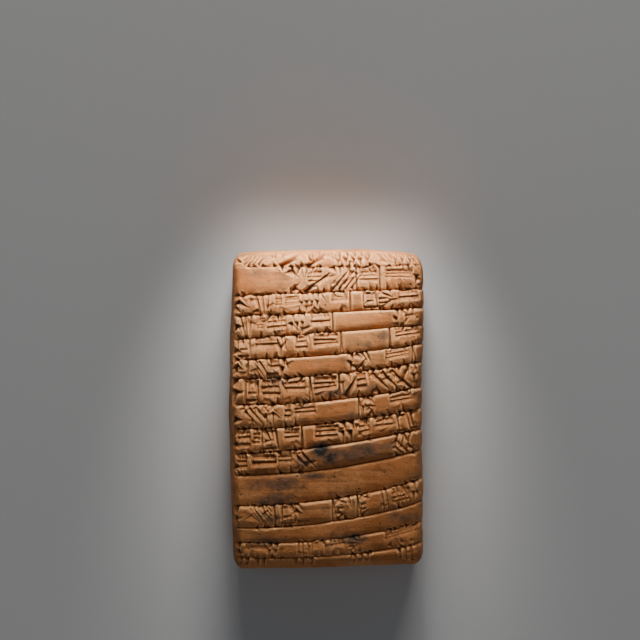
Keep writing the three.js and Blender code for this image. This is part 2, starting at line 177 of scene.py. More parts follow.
class Strokes:
    """Groups of strokes that fill a cell w millimetres wide and h high, n of a kind."""

    @staticmethod
    def louvres(w: float, low: float, high: float, n: int) -> Group:
        """Return level strokes that fill the height from low to high without a gap."""
        pitch = (high - low) / n
        return [
            Stroke(0.0, low + pitch * (i + 0.8), LEVEL, w * long, 1.08 * pitch, 0.1, 0.56)
            for i, long in zip(range(n), (1.0, 0.93, 1.0, 0.86, 0.97, 0.9))
        ]

    @classmethod
    def comb(cls, w: float, h: float, n: int) -> Group:
        """Return level strokes, one above the other."""
        return cls.louvres(0.98 * w, 0.36 * h, h, n)

    @classmethod
    def bars(cls, w: float, h: float, n: int) -> Group:
        """Return level strokes in the upper half of the row, over a plain foot."""
        return cls.louvres(0.98 * w, 0.48 * h, h, n + 1)

    @staticmethod
    def rank(w: float, h: float, n: int) -> Group:
        """Return upright strokes side by side."""
        return [Stroke(w * t, 1.04 * h, UPRIGHT, 0.95 * h, 0.95 * w / n, 0.55) for t in spread(n)]

    @staticmethod
    def hooks(w: float, h: float, n: int) -> Group:
        """Return short deep heads in two tiers, with a tail under each."""
        return [
            stroke
            for t in spread(n)
            for stroke in (
                Stroke(w * t, 1.08 * h, UPRIGHT, 0.62 * h, 1.08 * w / n, 1, 1.25),
                Stroke(w * (t - 0.12 / n), 0.62 * h, UPRIGHT - 8, 0.62 * h, 0.95 * w / n, 0.8),
            )
        ]

    @staticmethod
    def toes(w: float, h: float, n: int) -> Group:
        """Return deep heads over tails that fan out and leave rounded toes between them."""
        return [
            Stroke(w * t, 1.1 * h, UPRIGHT + 26 * (0.5 - t), 1.05 * h, w / n, 0.75, 1.3)
            for t in spread(n)
        ]

    @staticmethod
    def rises(w: float, h: float, n: int) -> Group:
        """Return strokes rising to the right."""
        return [
            Stroke(w * (t - 0.35 / n), 0.1 * h, 50, 1.05 * h, 0.85 * w / n, 0.6, 0.8)
            for t in spread(n)
        ]

    @staticmethod
    def falls(w: float, h: float, n: int) -> Group:
        """Return strokes falling to the right."""
        return [Stroke(w * (t - 0.35 / n), 0.95 * h, -54, h, 0.8 * w / n, 0.75, 0.9) for t in spread(n)]

    @staticmethod
    def sweep(w: float, h: float, n: int) -> Group:
        """Return broad, long strokes rising to the right from a deep start."""
        return [
            Stroke(w * (t - 0.5 / n), 0.05 * h, 34, 0.95 * w / n + 0.3 * h, 0.62 * h, 0.7, 1.15)
            for t in spread(n)
        ]

    @staticmethod
    def forks(w: float, h: float, n: int) -> Group:
        """Return short strokes that meet in pairs above upright ones."""
        return [
            stroke
            for t in spread(n)
            for stroke in (
                Stroke(w * (t - 0.45 / n), h, -48, 0.62 * h, 0.5 * w / n, 1, 1.1),
                Stroke(w * (t + 0.45 / n), h, -132, 0.62 * h, 0.5 * w / n, 1, 1.1),
                Stroke(w * t, 0.66 * h, UPRIGHT, 0.66 * h, 0.5 * w / n, 0.8, 1.2),
            )
        ]

    @staticmethod
    def gash(w: float, h: float, _n: int) -> Group:
        """Return one deep, broad stroke falling to the right, and a smaller one above it."""
        return [
            Stroke(0.1 * w, 0.78 * h, -38, w, 0.5 * h, 1, 1.2),
            Stroke(0.35 * w, 1.05 * h, -60, 0.5 * h, 0.3 * h, 1),
        ]

    @staticmethod
    def pen(w: float, h: float, n: int) -> Group:
        """Return a frame of two level and two upright strokes, with n level ones inside."""
        return [
            Stroke(0.0, 0.93 * h, LEVEL, w, 0.2 * h, 0.3, 0.9),
            Stroke(0.0, 0.2 * h, LEVEL, w, 0.2 * h, 0.3, 0.9),
            Stroke(0.06 * w, h, UPRIGHT, 0.9 * h, 0.18 * h, 0.4, 1.2),
            Stroke(0.94 * w, h, UPRIGHT, 0.9 * h, 0.18 * h, 0.4, 1.2),
        ] + [
            Stroke(0.2 * w, h * (0.26 + 0.5 * t), LEVEL, 0.6 * w, 0.16 * h, 0.3, 0.9)
            for t in spread(n)
        ]

    @classmethod
    def lattice(cls, w: float, h: float, n: int) -> Group:
        """Return level strokes crossed by upright ones."""
        return cls.louvres(w, 0.26 * h, 0.98 * h, n) + [
            Stroke(w * (0.12 + 0.76 * t), 1.02 * h, UPRIGHT, 0.85 * h, 0.42 * w / n, 0.5, 1.1)
            for t in spread(n - 1)
        ]

    @staticmethod
    def dart(w: float, h: float, _n: int) -> Group:
        """Return two strokes that close on a point to the right, and level ones between."""
        return [
            Stroke(0.04 * w, 0.98 * h, -26, 0.95 * w, 0.26 * h, 0.6),
            Stroke(0.04 * w, 0.1 * h, 30, 0.9 * w, 0.26 * h, 0.6, 0.9),
            Stroke(0.02 * w, 0.6 * h, LEVEL, 0.6 * w, 0.2 * h, 0.4, 0.8),
            Stroke(0.02 * w, 0.4 * h, LEVEL, 0.6 * w, 0.2 * h, 0.4, 0.8),
        ]

    @staticmethod
    def angles(w: float, h: float, n: int) -> Group:
        """Return nested angles that point left."""
        return [
            stroke
            for t in spread(n)
            for stroke in (
                Stroke(w * (t + 0.35 / n), h, -122, 0.6 * h, 0.7 * w / n, 0.6, 0.9),
                Stroke(w * (t - 0.35 / n), 0.52 * h, -52, 0.6 * h, 0.7 * w / n, 0.6, 0.9),
            )
        ]

    @staticmethod
    def cross(w: float, h: float, _n: int) -> Group:
        """Return two strokes crossing, with a deep head where they start."""
        return [
            Stroke(0.0, h, -46, 1.1 * w, 0.34 * h, 0.9, 1.1),
            Stroke(0.05 * w, 0.1 * h, 46, 1.1 * w, 0.28 * h, 0.9, 0.9),
            Stroke(0.75 * w, 1.05 * h, -115, 0.7 * h, 0.3 * h, 1, 1.1),
        ]

    @staticmethod
    def stop(w: float, h: float, _n: int) -> Group:
        """Return a thin stroke down the whole row."""
        return [Stroke(0.5 * w, 1.02 * h, UPRIGHT, 1.02 * h, 0.9, 0.4, 1.2)]


Line = tuple[float, float, float]
HEAD_LIMITS = (0.45, 2.6)  # the breadth of a stroke's head
HAND_SHIFT = 0.12  # how far the hand wanders, in millimetres
HAND_TURN = 4  # and in degrees
HAND_START = 23  # where its scatter starts
SOFT_OUT = 0.8  # how far past a sign its row is still ragged, in millimetres
SOFT_IN = 0.2  # and how far inside the sign it is wholly so


@dataclass(frozen=True)
class Row:
    """A row between two bowed lines, its strokes, and the pillow of clay between the lines.

    The lines are given at -28, 0 and 28 along the row. Cells are written as group, from, to
    and count, and press is a factor for the depth of the strokes. Swell is how high the pillow
    stands between its lines, and parting is how deep the crevice along its head line runs.
    """

    head: Line
    foot: Line
    press: float
    cells: str
    swell: float = 1.0
    parting: float = 1.0
    NOTCH_PITCH: ClassVar[float] = 2.3  # how far apart notches are cut into the head line
    FACET_PITCH: ClassVar[float] = 2.7  # how far apart facets lie under the signs
    FIRST: ClassVar[float] = -24.0  # a row with signs to the left of this starts with a stroke
    FACET_TURNS: ClassVar[tuple[float, ...]] = (-48, 28, -12, 52, -70, 8)

    @staticmethod
    def bowed(line: Line, x: Array | float) -> Array | float:
        """Return a line's place at x, along the parabola through its three values."""
        left, middle, right = line
        s = x / RULE_REACH
        return middle + (right - left) / 2 * s + ((right + left) / 2 - middle) * s * s

    def stops(self) -> list[float]:
        """Return the places along the row of the strokes that part it into pillows."""
        parted = [cell.split(" ") for cell in self.cells.split(", ") if cell.startswith("stop")]
        return [(float(start) + float(end)) / 2 for _, start, end in parted]

    def signs(self) -> list[tuple[str, float, float]]:
        """Return the group, start and end of each cell that bears signs."""
        cells = [cell.split(" ") for cell in self.cells.split(", ") if cell]
        return [(c[0], float(c[1]), float(c[2])) for c in cells if c[0] != "stop"]

    def written(self, x: Array) -> Array:
        """Return 1 where the row bears signs and 0 where it is bare, with soft borders."""
        found = np.zeros(len(x))
        for _group, start, end in self.signs():
            inside = smooth(start - SOFT_OUT, start + SOFT_IN, x)
            found = np.maximum(found, inside * smooth(end + SOFT_OUT, end - SOFT_IN, x))
        return found

    def strokes(self, seed: int) -> Group:
        """Lay out the row's strokes on its side.

        Args:
            seed: where the hand's scatter starts.

        Returns:
            The strokes, in millimetres and degrees on the side.
        """
        found = []
        for cell in self.cells.split(", "):
            if not cell:
                continue
            group, *numbers = cell.split(" ")
            start, end, *count = [float(n) for n in numbers]
            middle = (start + end) / 2
            height = self.bowed(self.head, middle) - self.bowed(self.foot, middle)
            make = getattr(Strokes, group)
            for stroke in make(end - start, height, int(count[0]) if count else 1):
                seed += 5
                a = start + stroke.a + HAND_SHIFT * scatter(seed)
                slope = math.atan(self.bowed(self.foot, a + 0.5) - self.bowed(self.foot, a - 0.5))
                breadth = min(max(stroke.head, HEAD_LIMITS[0]), HEAD_LIMITS[1])
                found.append(
                    Stroke(
                        a,
                        self.bowed(self.foot, a) + stroke.b + HAND_SHIFT * scatter(seed + 1),
                        math.degrees(slope) + stroke.turn + HAND_TURN * scatter(seed + 2),
                        stroke.long,
                        breadth,
                        stroke.taper,
                        stroke.deep * (0.2 + 0.5 * breadth) * self.press,
                    )
                )
        return found

    def notches(self, seed: int) -> Group:
        """Cut ragged notches into the head line of the row's written stretches.

        Args:
            seed: where the scatter starts.

        Returns:
            The strokes, in millimetres and degrees on the side.
        """
        found = []
        first = min((start for _group, start, _end in self.signs()), default=0.0)
        if first < self.FIRST:
            b = self.bowed(self.foot, first) * 0.45 + self.bowed(self.head, first) * 0.55
            b += 0.5 * scatter(seed + 4)
            turn = -25 + 25 * scatter(seed + 3)
            found.append(Stroke(self.FIRST - 4.3, b, turn, 3.2, 2.6, 1, 1.35 * self.press))
        for group, start, end in self.signs():
            heavy = 0.5 if group in ("bars", "comb", "rank") else 1.0
            for number in range(max(1, round((end - start) / self.NOTCH_PITCH))):
                seed += 9
                a = start + self.NOTCH_PITCH * (number + 0.5 + 0.35 * scatter(seed))
                head, foot = self.bowed(self.head, a), self.bowed(self.foot, a)
                breadth = 1.9 + 0.7 * scatter(seed + 1)
                turn = -90 + 34 * scatter(seed + 2)
                long = (head - foot) * (0.6 + 0.3 * scatter(seed + 3)) * (0.55 + 0.45 * heavy)
                depth = (1.25 + 0.35 * scatter(seed + 6)) * self.press * (0.5 + 0.5 * heavy)
                found.append(Stroke(a, head + 0.6, turn, long, breadth, 1, depth))
                if scatter(seed + 7) > -0.3:
                    a += 1.1 * scatter(seed + 8)
                    long = (head - foot) * (0.4 + 0.12 * scatter(seed + 2))
                    turn = 90 + 30 * scatter(seed + 4)
                    found.append(Stroke(a, foot - 0.3, turn, long, 1.8, 1, 0.95 * self.press))
        return found

    def facets(self, seed: int) -> Group:
        """Lay broad, flat facets under the row's signs, steep along their upper edge.

        Args:
            seed: where the scatter starts.

        Returns:
            The strokes, in millimetres and degrees on the side.
        """
        found = []
        for group, start, end in self.signs():
            level = group in ("bars", "comb", "lattice", "pen")
            foot = self.bowed(self.foot, start)
            height = self.bowed(self.head, start) - foot
            slope = math.degrees(math.atan2(self.bowed(self.foot, end) - foot, end - start))
            if level:
                size = height * (0.62 + 0.12 * scatter(seed + 1))
                top, depth = foot + 0.84 * height, 0.6 * self.press
                found.append(Stroke(start - 0.2, top, slope, end - start, size, 0, depth))
            for number in range(max(1, round((end - start) / self.FACET_PITCH))):
                seed += 11
                a = start + self.FACET_PITCH * (number + 0.3 + 0.3 * scatter(seed))
                b = self.bowed(self.foot, a) + height * (0.52 + 0.3 * scatter(seed + 1))
                turn = self.FACET_TURNS[(seed // 11) % len(self.FACET_TURNS)] + 14 * scatter(seed + 2)
                size = 2.3 + 0.7 * scatter(seed + 3)
                depth = (0.3 if level else 0.62) * (1 + 0.3 * scatter(seed + 4)) * self.press
                found.append(Stroke(a, b, turn, 3.4 + 0.8 * scatter(seed + 5), size, 0.6, depth))
        return found


Rows = tuple[Row, ...]
FACE_ROWS = (
    Row((48.2, 49.5, 48.6), (44.6, 44.3, 45), 1.5,
        "rises -26 -20 4, bars -20 -15 2, sweep -14.5 -5 1, sweep -6 4 1, hooks -5 -1 2, "
        "hooks 3 8 2, hooks 8 14.5 3, falls 15.5 21 3, hooks 21 25 2, hooks 25.5 29 2"),
    Row((44.4, 44.1, 44.8), (35.3, 36.4, 37.4), 1,
        "cross -11 -7 1, comb -6 -1 4, sweep -7 1 1, rises 1.5 9 4, stop 8.8 9.8, "
        "comb 10 16 4, stop 16 17, bars 18 27 3, hooks 27.5 29.5 1", 1, 0.25),
    Row((35.3, 36.4, 37.4), (29, 30.2, 31.6), 1,
        "gash -28 -23, toes -22.5 -16.5 3, comb -15.8 -13.3 4, comb -12.8 -8 5, "
        "hooks -8 -1.5 4, bars 1.5 7 2, stop 7 8, pen 11.5 15.5 1, dart 16 21, comb 22 28.5 2"),
    Row((29, 30.2, 31.6), (21.8, 24, 26.1), 1,
        "toes -27.5 -21.8 3, comb -21.5 -19 5, lattice -18.5 -12 3, hooks -11 -6 3, "
        "comb -5 1.5 2, stop 1.5 2.5, hooks 21 23 1, cross 23 26.5"),
    Row((21.8, 24, 26.1), (15.6, 17, 20.2), 1,
        "pen -27.5 -23 1, bars -22 -14 1, hooks -14.5 -12.5 1, lattice -9.5 -5.5 3, "
        "comb -4 4 3, stop 4 5, stop 19 20, bars 21 29 2"),
    Row((15.6, 17, 20.2), (9.6, 11, 14.6), 1,
        "gash -28 -25, rank -25 -23 1, falls -22.5 -17.5 3, comb -17.5 -14 2, "
        "hooks -14 -11.5 1, hooks 7 9 1, cross 9 12.5, comb 18 26 3, stop 26 27"),
    Row((9.6, 11, 14.6), (1.6, 3, 7), 1,
        "hooks -28.5 -26 1, pen -25 -20.5 1, lattice -20 -14 3, bars -13 -6 2, "
        "stop -5.5 -4.5, comb -4 3.5 3, stop 3.5 4.5, rises 5 8 1, lattice 9 12.5 3, "
        "falls 13.5 22.5 3, angles 22.5 26 1, hooks 26.5 29.5 2"),
    Row((1.6, 3, 7), (-5.8, -4, 0.4), 1,
        "falls -26 -20 3, forks -19.5 -15 2, comb -13 -10.5 3, bars -10 -3 2, stop 9.5 10.5, "
        "hooks 10.8 12.5 1, cross 12.3 15.5, bars 19.5 26.5 2"),
    Row((-5.8, -4, 0.4), (-13.6, -10.9, -6), 1,
        "lattice -27.5 -23 3, comb -22.5 -20 4, pen -20 -15 1, bars -13 -8 2, stop -8 -7, "
        "comb -3.5 4 3, hooks 4.5 9 2, lattice 9.8 13.5 3, bars 15 21 2, pen 21.5 25 0, "
        "pen 25.5 29 0"),
    Row((-13.6, -10.9, -6), (-20, -18, -12.5), 1,
        "lattice -27.5 -24 3, comb -23 -15 2, bars -15 -10.5 2, falls -10.5 -6 2, "
        "angles 20.5 26.5 3"),
    Row((-20, -18, -12.5), (-29.6, -27.6, -21.8), 1, "", 0.45),
    Row((-29.6, -27.6, -21.8), (-36.4, -34.6, -28.6), 0.75,
        "hooks -28.5 -26 1, falls -23.5 -17 6, rank -17 -15 1, pen -14 -9.5 1, gash -10 -7, "
        "stop 1.5 2.5, dart 3 6.5, stop 9.2 10.2, dart 10.3 13.5, rank 16.5 19 2, "
        "lattice 20 26 4, hooks 26.3 29.3 2", 0.75),
    Row((-36.4, -34.6, -28.6), (-41, -40, -35), 1, "", 0.4),
    Row((-41, -40, -35), (-45.2, -44.8, -39.6), 0.6,
        "hooks -28 -25.5 1, bars -25 -18 1, hooks -18 -14 2, rank -9 -5 3, pen -4.5 0 0, "
        "bars 1 6 1, dart 7 11, comb 18 29 3", 0.5),
    Row((-45.6, -45.2, -41.4), (-49.2, -49, -46.4), 0.6,
        "hooks -27 -23 2, rank -22 -18 2, rank -10 -6 2, hooks -5 -3 1, hooks 8 14 3, "
        "rank 22 27 3", 0.5),
)


def level_rows(middles: tuple[float, ...], reach: float, cells: tuple[str, ...]) -> Rows:
    """Make straight rows for a plainer side.

    Args:
        middles: the place of each row's middle.
        reach: half the height of a row.
        cells: what each row bears.

    Returns:
        The rows.
    """
    return tuple(
        Row((m + reach,) * 3, (m - reach,) * 3, 0.8, text, 0.6) for m, text in zip(middles, cells)
    )


UNDERSIDE_ROWS = level_rows((33, 22, 11, 0, -11, -22, -33), 3.5, (
    "comb -25 -19 3, rank -18 -13 3, hooks -5 0 2, stop 0 2, comb 2 10 2",
    "forks -25 -19 2, comb -19 -12 2, stop -12 -10, pen -10 -4 1, rank 10 16 3",
    "falls -20 -14 3, comb -13 -5 3, hooks 5 11 3, dart 11 16",
    "",
    "hooks -25 -20 2, comb -20 -12 2, stop -12 -10, lattice 0 5 3, rank 6 11 2",
    "comb -25 -18 3, dart -17 -12, rank -6 0 3, comb 8 17 2",
    "rank -25 -20 2, comb -15 -7 2, hooks -6 -1 2",
))
RIGHT_ROWS = level_rows((34.6, 28.9, 23.2, 17.4, 10.8, 3.7, -2.8, -25.2, -37.3), 2.3, (
    "comb -20 -15 3, toes -14.5 -11 2", "toes -19 -15.5 2, comb -15 -11 2",
    "comb -19 -12.5 3", "gash -19 -15, forks -15 -11.5 1",
    "comb -20 -14 3, rank -13.5 -11 1", "cross -19 -15, comb -15 -10.5 2",
    "comb -18 -12 3", "toes -18 -13 3", "comb -18 -12 2, gash -12 -9",
))
LEFT_ROWS = level_rows((10.5,), 2.8, (
    "comb -28 -22 3, toes -21.5 -17 3, gash -16.5 -12.5, comb -12 -8 2, comb 8 14 3, "
    "cross 14.5 18",
))
HEAD_ROWS = level_rows((-11,), 3.2, (
    "comb -23 -18 3, gash -17.5 -13.5, comb -13 -6.5 2, toes -6 -1.5 3, comb 2 6.5 3, "
    "cross 7 11, comb 11.5 17 2, gash 17.5 21.5",
))
FOOT_ROWS = level_rows((12,), 3.2, (
    "gash -22 -18, comb -17.5 -11 3, cross -10 -6, comb -5 0 2, toes 1 6 3, comb 13 18.5 3",
))


@dataclass
class Lump:
    """The bare pillow of clay, with the solid's own sizes, in millimetres."""

    width: float = 60.0
    length: float = 100.0
    edge_thickness: float = 21.0
    swell_long: float = 3.8
    swell_across: float = 1.2
    round_side: float = 3.2
    round_end: float = 5.0
    round_above: float = 10.0
    round_below: float = 8.0
    fine_cell: float = 0.21
    wall_cell: float = 0.42

    def stations(self, half: float, low_turn: float, high_turn: float, cell: float) -> Array:
        """Space stations along one axis: an eighth turn, the flat stretch, an eighth turn.

        Args:
            half: half the block's size along the axis.
            low_turn: how far the rounding reaches in at the low end.
            high_turn: the same at the high end.
            cell: about how far apart the stations stand.

        Returns:
            The stations, from low to high.
        """
        low, high = -half + low_turn, half - high_turn
        flat = max(2, round((high - low) / cell))
        turns = []
        for reach in (low_turn, high_turn):
            count = max(4, round(reach * 0.9 / cell))
            turns.append(reach * np.tan(math.pi / 4 * np.arange(1, count + 1) / count))
        return np.concatenate([low - turns[0][::-1], np.linspace(low, high, flat + 1), high + turns[1]])

    def wander(self, x: Array, y: Array) -> tuple[Array, Array]:
        """Return how far the plan wanders from a true rectangle, across and along, at (x, y)."""
        u, v = x / (self.width / 2), y / (self.length / 2)
        left_edge = -0.25 - 0.17 * v + 1.36 * v * v
        right_edge = 0.1 + 0.35 * np.cos(math.pi * 1.45 * (v - 0.72))
        head_edge = 0.1 + 0.15 * u - 1.3 * u * u
        foot_edge = 0.3 + 0.75 * u + 0.4 * u * u
        corner = np.abs(u * v) ** 8 * np.where((u > 0) & (v > 0), -0.7, 0.4)
        across, along = (u + 1) / 2, (v + 1) / 2
        return (
            left_edge + (right_edge - left_edge) * across + np.sign(u) * corner,
            foot_edge + (head_edge - foot_edge) * along + np.sign(v) * corner,
        )

    def shape(self, p: Array) -> Array:
        """Move points of the square-edged block onto the rounded, swelling lump.

        Args:
            p: an (n, 3) array of points on the block, which is centred on the origin.

        Returns:
            The points on the lump, which stands on zero.
        """
        half = np.array([self.width, self.length, self.edge_thickness]) / 2
        low_turn = np.array([self.round_side, self.round_end, self.round_below])
        high_turn = np.array([self.round_side, self.round_end, self.round_above])
        core = np.clip(p, low_turn - half, half - high_turn)
        turn = np.where(p > 0, high_turn, low_turn)
        q = (p - core) / turn
        q = q / np.linalg.norm(q, axis=1)[:, None] * turn + core
        dx, dy = self.wander(q[:, 0], q[:, 1])
        swell = self.swell_long * (1 - (q[:, 1] / half[1]) ** 2)
        swell += self.swell_across * (1 - (q[:, 0] / half[0]) ** 2)
        height = (q[:, 2] + half[2]) * (1 + swell / self.edge_thickness)
        return np.column_stack([q[:, 0] + dx, q[:, 1] + dy, height])

    def mesh(self) -> bpy.types.Mesh:
        """Cut a cube into cells at the stations and round it into the lump."""
        axes = (
            self.stations(self.width / 2, self.round_side, self.round_side, self.fine_cell),
            self.stations(self.length / 2, self.round_end, self.round_end, self.fine_cell),
            self.stations(self.edge_thickness / 2, self.round_below, self.round_above, self.wall_cell),
        )
        bm = bmesh.new()
        bmesh.ops.create_cube(bm, size=1)
        for axis, places in enumerate(axes):
            run = [e for e in bm.edges if abs(e.verts[0].co[axis] - e.verts[1].co[axis]) > 0.5]
            bmesh.ops.subdivide_edges(bm, edges=run, cuts=len(places) - 2, use_grid_fill=False)
        mesh = bpy.data.meshes.new("clay_tablet_relief")
        bm.to_mesh(mesh)
        bm.free()
        points = column(mesh.vertices, "co", 3) + 0.5
        for axis, places in enumerate(axes):
            index = np.rint(points[:, axis] * (len(places) - 1)).astype(int)
            points[:, axis] = places[index]
        mesh.vertices.foreach_set("co", self.shape(points).ravel())
        mesh.update()
        return mesh


@dataclass
class Pit:
    """A small round hole in the face, in millimetres."""

    x: float
    y: float
    radius: float


@dataclass
class Stain:
    """A discoloured patch of the face: its place and reach in millimetres, and its strength."""

    x: float
    y: float
    reach_x: float
    reach_y: float
    strength: float


PITS = tuple(Pit(*values) for values in (
    (28.3, 38.8, 0.5), (27.8, 28.6, 0.4), (26.4, 30.2, 0.35), (-26.3, -26, 0.35),
    (-7.5, -21, 0.3), (21, 8.6, 0.35), (1.5, 0.5, 0.3), (-29, 24, 0.45),
    (-29, 14.5, 0.5), (-29.2, 12, 0.35), (10.5, 18.7, 0.3), (19.5, 5, 0.3),
))
STAINS = tuple(Stain(*values) for values in (
    (-1.4, -12.2, 2.9, 2.3, 1.0), (1.6, -13.8, 3.2, 2.2, 0.85),
    (12.5, -11.8, 4.6, 2.0, 0.7), (7.0, -13.6, 5.0, 2.0, 0.6),
    (-6.0, -15.2, 3.0, 1.8, 0.65), (18.5, -10.8, 3.2, 1.6, 0.5),
    (-13, -22.5, 7.5, 2.2, 0.55), (-16, -27.6, 5.5, 2.2, 0.55),
    (-4.5, -20, 4.0, 1.1, 0.65), (-22, -23, 3.5, 2.0, 0.35),
    (17.2, 23, 2.2, 2.0, 0.5), (9, -39.5, 4.2, 1.6, 0.7), (12, 20.4, 4.0, 1.2, 0.3),
    (-18, -33, 4.0, 1.4, 0.45), (24, -33, 5.0, 1.8, 0.45), (-18, -40, 6.0, 2.4, 0.4),
    (-20, 42, 7.0, 1.6, 0.3), (3, 5.5, 7.0, 1.4, 0.4), (-16, 9, 5.0, 3.0, 0.3),
    (2, 15.5, 8.0, 1.4, 0.25), (8, -2, 5.0, 1.6, 0.35), (14, 7, 5.0, 1.6, 0.3),
))


class Relief:
    """The finer relief of the clay over the bare lump, in millimetres along its normals."""

    PILLOW = 1.3  # how high a full pillow stands over the bottom of its crevices
    SUNK = 0.8  # how far the crevices lie below the bare lump
    LIP = 0.13  # the part of a row's height that its upper lip rises over
    ROLL = 0.42  # and the part that its foot rolls down over
    END = 1.0  # how far in from a stop a pillow's end is rounded
    DEEPEST = -1.25  # how far below the bare lump strokes that meet may reach
    STEEP = 0.22  # the part of a stroke's breadth that its steep wall takes
    MARGIN = -27.6  # where the plain left margin starts
    BEYOND = 60.0  # farther along the tablet than any row lies
    HEAD_BROADER = 1.2  # how much broader than its stroke a pressed head is
    HEAD_LONG = 1.7  # how many breadths long it may be
    HEAD_DEEPER = 1.25  # and how much deeper it is
    TAIL_NARROWER = 0.92  # how much narrower than its stroke the tail is
    START_SLOPE = 0.28  # the breadths of head over which a stroke goes down
    END_SLOPE = 0.4  # how far its tail takes to come up, in millimetres

    def __init__(self, points: Array, normals: Array) -> None:
        """Start from the bare lump.

        Args:
            points: the lump's points, in millimetres.
            normals: its outward normals.
        """
        self.points = points
        self.normals = normals
        self.pillow = np.zeros(len(points))
        self.cut = np.zeros(len(points))
        self.broad = np.zeros(len(points))

    @staticmethod
    def rounded(t: Array) -> Array:
        """Rise from 0 to 1 along a quarter of a circle."""
        return np.sqrt(1 - (1 - t) ** 2)

    def lines(self, rows: Rows, x: Array) -> list[tuple[Array, Array]]:
        """Return each row's head line, ragged where signs are cut into it, and its parting."""
        found = []
        spots = np.column_stack([x, np.zeros(len(x)), np.zeros(len(x))])
        for number, row in enumerate(rows):
            written = row.written(x)
            ragged = 0.08 * value_noise(spots, 2.6, 40 + number)
            ragged += 0.24 * written * value_noise(spots, 1.3, 60 + number)
            broken = 1 - 0.45 * written * (0.5 + 0.5 * value_noise(spots, 1.7, 80 + number))
            found.append((Row.bowed(row.head, x) + ragged, row.parting * broken))
        return found

    def swell_rows(self, rows: Rows) -> None:
        """Raise the face's rows into pillows that run on over the right edge."""
        x, y, z = self.points.T
        nx, _ny, nz = self.normals.T
        along = np.clip(x, -30, 29)
        height = np.full(len(x), -self.SUNK)
        lines = self.lines(rows, along)
        for number, row in enumerate(rows):
            last = number == len(rows) - 1
            top, top_part = (self.BEYOND, 0.0) if number == 0 else lines[number]
            bottom, bottom_part = (-self.BEYOND, 0.0) if last else lines[number + 1]
            inside = (y <= top) & (y >= bottom)
            size = np.minimum(top - bottom, 9)
            lip = np.clip((top - y) / (self.LIP * size), 0, 1)
            roll = np.clip((y - bottom) / (self.ROLL * size), 0, 1)
            shape = 1 - (1 - self.rounded(lip)) * top_part
            shape *= 1 - (1 - self.rounded(roll)) * bottom_part
            for place in row.stops():
                shape *= self.rounded(np.clip(np.abs(x - place) / self.END, 0, 1))
            raised = -self.SUNK + self.PILLOW * (0.35 + 0.65 * row.swell) * shape
            height = np.where(inside, np.maximum(height, raised), height)
        plain = self.PILLOW * 0.8 - self.SUNK
        margin = smooth(self.MARGIN + 0.6, self.MARGIN - 0.6, x)
        height += (plain - height) * margin
        fade = 4 * value_noise(self.points * (0, 1, 0), 7, 31)
        shown = smooth(0.1, 0.5, nz) + 0.6 * smooth(0.35, 0.7, nx) * smooth(6, 17, z + fade)
        shown *= smooth(-0.6, 0.2, nz)
        self.pillow = height * np.clip(shown, 0, 1)

    def rule_rows(self, side: Side, rows: Rows) -> None:
        """Press a ruled line along the foot of each row of a plainer side."""
        a, b, weight = self.on_side(side)
        for row in rows:
            away = np.abs(b - row.foot[0])
            line = 0.45 * np.clip(1 - away / 0.5, 0, 1) * smooth(26, 24.5, np.abs(a))
            self.cut = np.maximum(self.cut, line * weight)

    def on_side(self, side: Side) -> tuple[Array, Array, Array]:
        """Return every point's place on a side, and how squarely it lies on that side."""
        along, up, out = (np.array(way, float) for way in side.value)
        weight = smooth(0.3, 0.6, self.normals @ out)
        return self.points @ along, self.points @ up, weight

    def press(self, side: Side, rows: Rows, start: int) -> int:
        """Press a side's strokes into the clay.

        Args:
            side: the side that is written on.
            rows: its rows.
            start: where the hand's scatter starts on this side.

        Returns:
            How many strokes were pressed.
        """
        a, b, weight = self.on_side(side)
        where = np.nonzero(weight > 0)[0]
        a, b, weight = a[where], b[where], weight[where]
        count = 0
        for number, row in enumerate(rows):
            seed = start + ROW_SEEDS * number
            fine, broad = row.strokes(seed), []
            if side is not Side.UNDERSIDE:
                fine += row.notches(seed)
                broad = row.facets(seed)
            for layer, strokes in ((self.cut, fine), (self.broad, broad)):
                for stroke in strokes:
                    self.press_one(layer, stroke, where, a, b, weight)
                    count += 1
        return count

    def press_one(
        self,
        layer: Array,
        stroke: Stroke,
        where: Array,
        a: Array,
        b: Array,
        weight: Array,
    ) -> None:
        """Press one stroke into a layer: a broad three-sided head and a narrower tail.

        Args:
            layer: the depths of all the lump's points.
            stroke: the stroke.
            where: the numbers of the points on its side.
            a: their places along the side.
            b: their places up it.
            weight: how squarely they lie on it.
        """
        reach = stroke.long + 1.5
        near = np.nonzero((np.abs(a - stroke.a) < reach) & (np.abs(b - stroke.b) < reach))[0]
        turn = math.radians(stroke.turn)
        da, db = a[near] - stroke.a, b[near] - stroke.b
        u = da * math.cos(turn) + db * math.sin(turn)
        v = db * math.cos(turn) - da * math.sin(turn)
        depth = np.zeros(len(near))
        for head, long, taper, deep in (
            (
                stroke.head * self.HEAD_BROADER,
                min(stroke.long, stroke.head * self.HEAD_LONG),
                1.0,
                stroke.deep * self.HEAD_DEEPER,
            ),
            (stroke.head * self.TAIL_NARROWER, stroke.long, stroke.taper, stroke.deep),
        ):
            breadth = head * (1 - taper * np.clip(u / long, 0, 1))
            planes = (
                (self.STEEP * breadth - v) / (self.STEEP * head),
                (v + (1 - self.STEEP) * breadth) / ((1 - self.STEEP) * head),
                u / (self.START_SLOPE * head),
                (long - u) / self.END_SLOPE,
            )
            depth = np.maximum(depth, deep * np.clip(np.minimum.reduce(planes), 0, 1))
        spot = where[near]
        layer[spot] = np.maximum(layer[spot], depth * weight[near])

